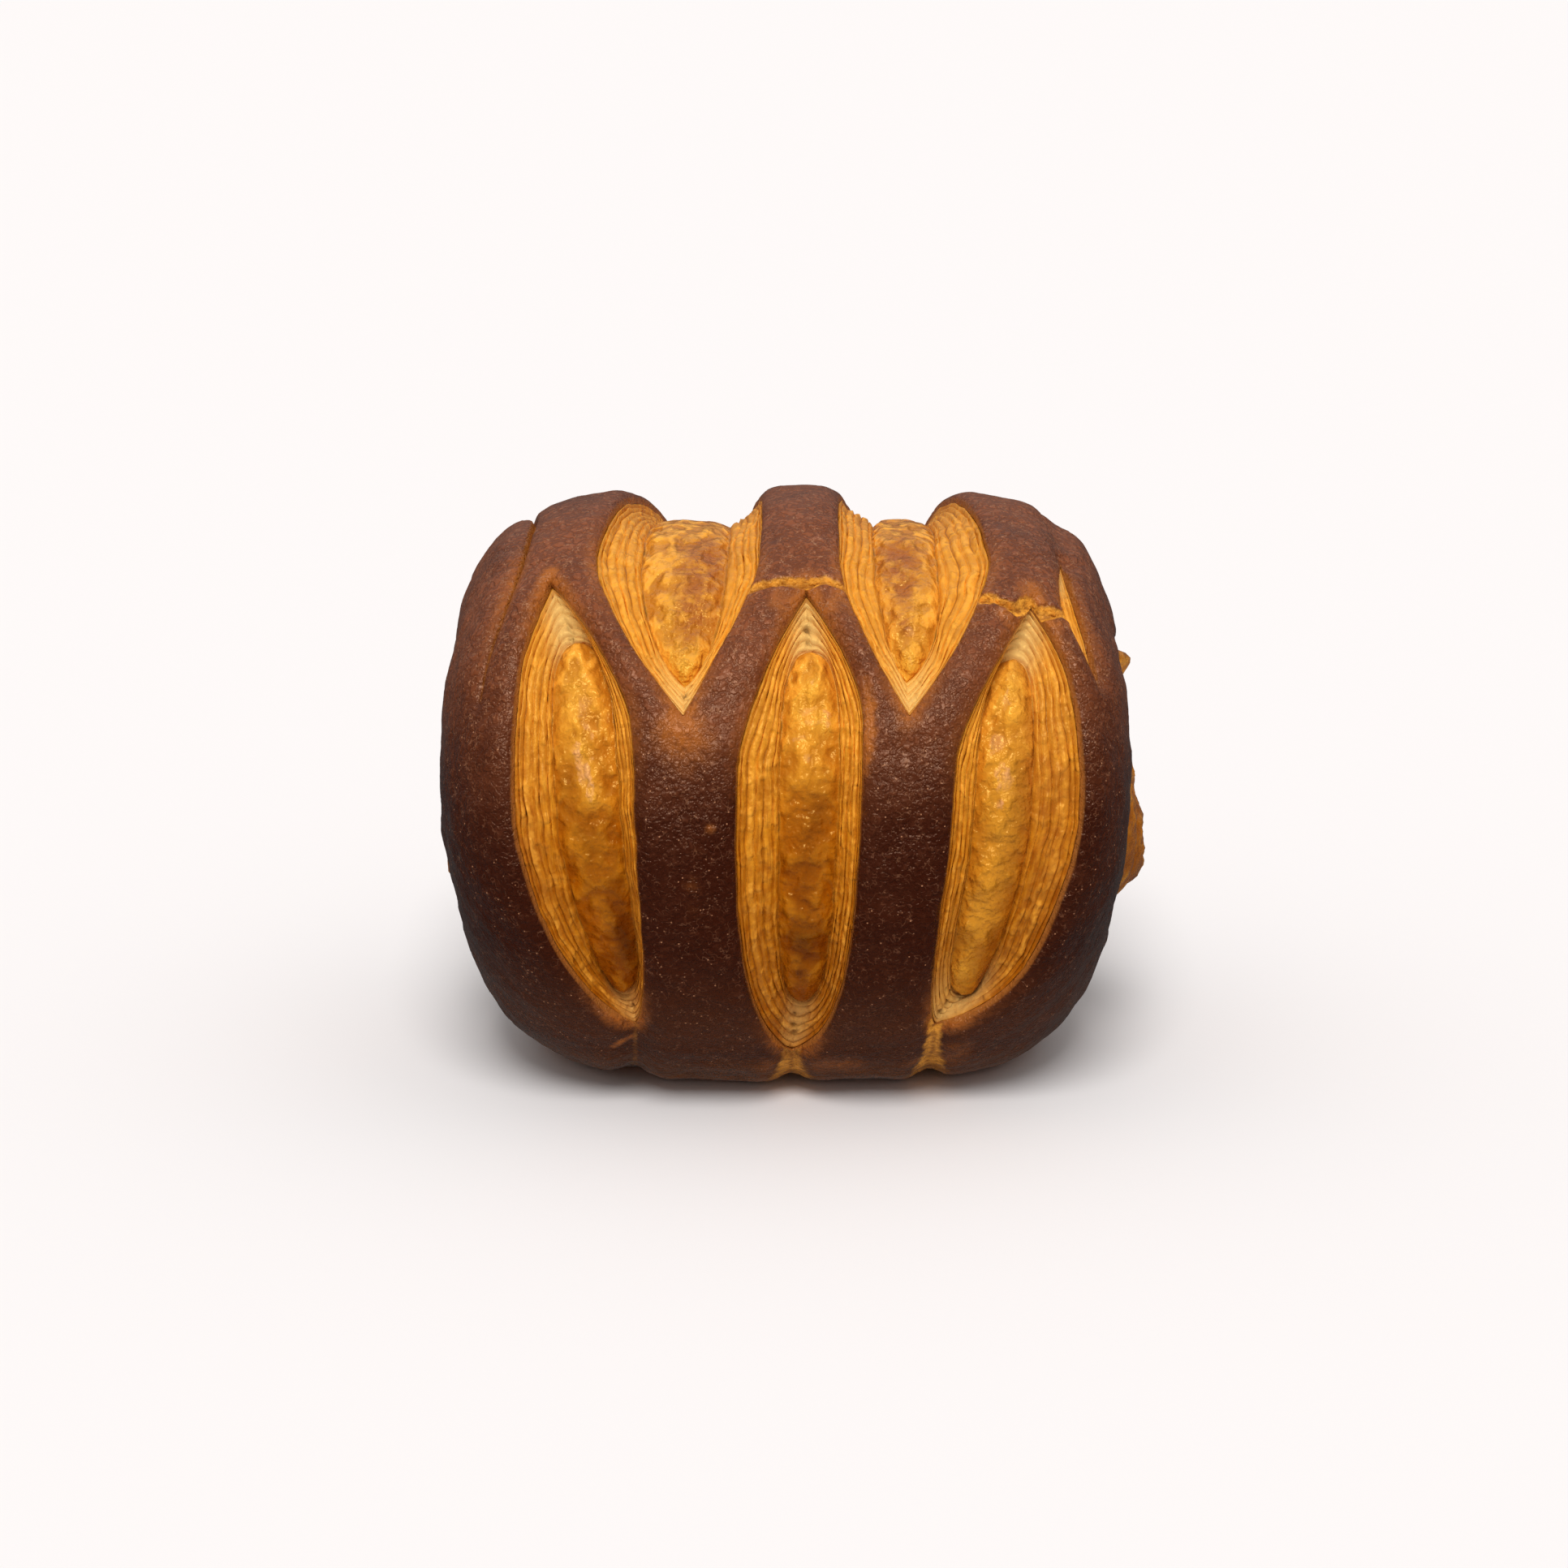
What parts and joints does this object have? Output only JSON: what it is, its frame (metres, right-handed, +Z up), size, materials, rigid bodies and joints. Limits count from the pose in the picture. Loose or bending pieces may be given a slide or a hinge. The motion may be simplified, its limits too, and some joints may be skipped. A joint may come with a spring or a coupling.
{
  "type": "two-dough pain au chocolat",
  "caption": "Baked roll of laminated dough wrapped in a dark cocoa dough sheet whose slits have opened into pointed eyes with layered golden walls.",
  "frame": {"origin": "middle of the bottom of the roll's box, on the surface it rests on", "axes": "+X along the roll, +Z up, -Y towards the side with the three full eyes"},
  "size_m": [0.0964, 0.0858, 0.0779],
  "materials": {
    "cocoa_crust": "satin dark brown baked crust",
    "golden_dough": "glazed golden baked crust with layered edges"
  },
  "bodies": {
    "root": {"cocoa_sheet": "cocoa_crust", "plain_dough": "golden_dough"}
  },
  "joints": []
}
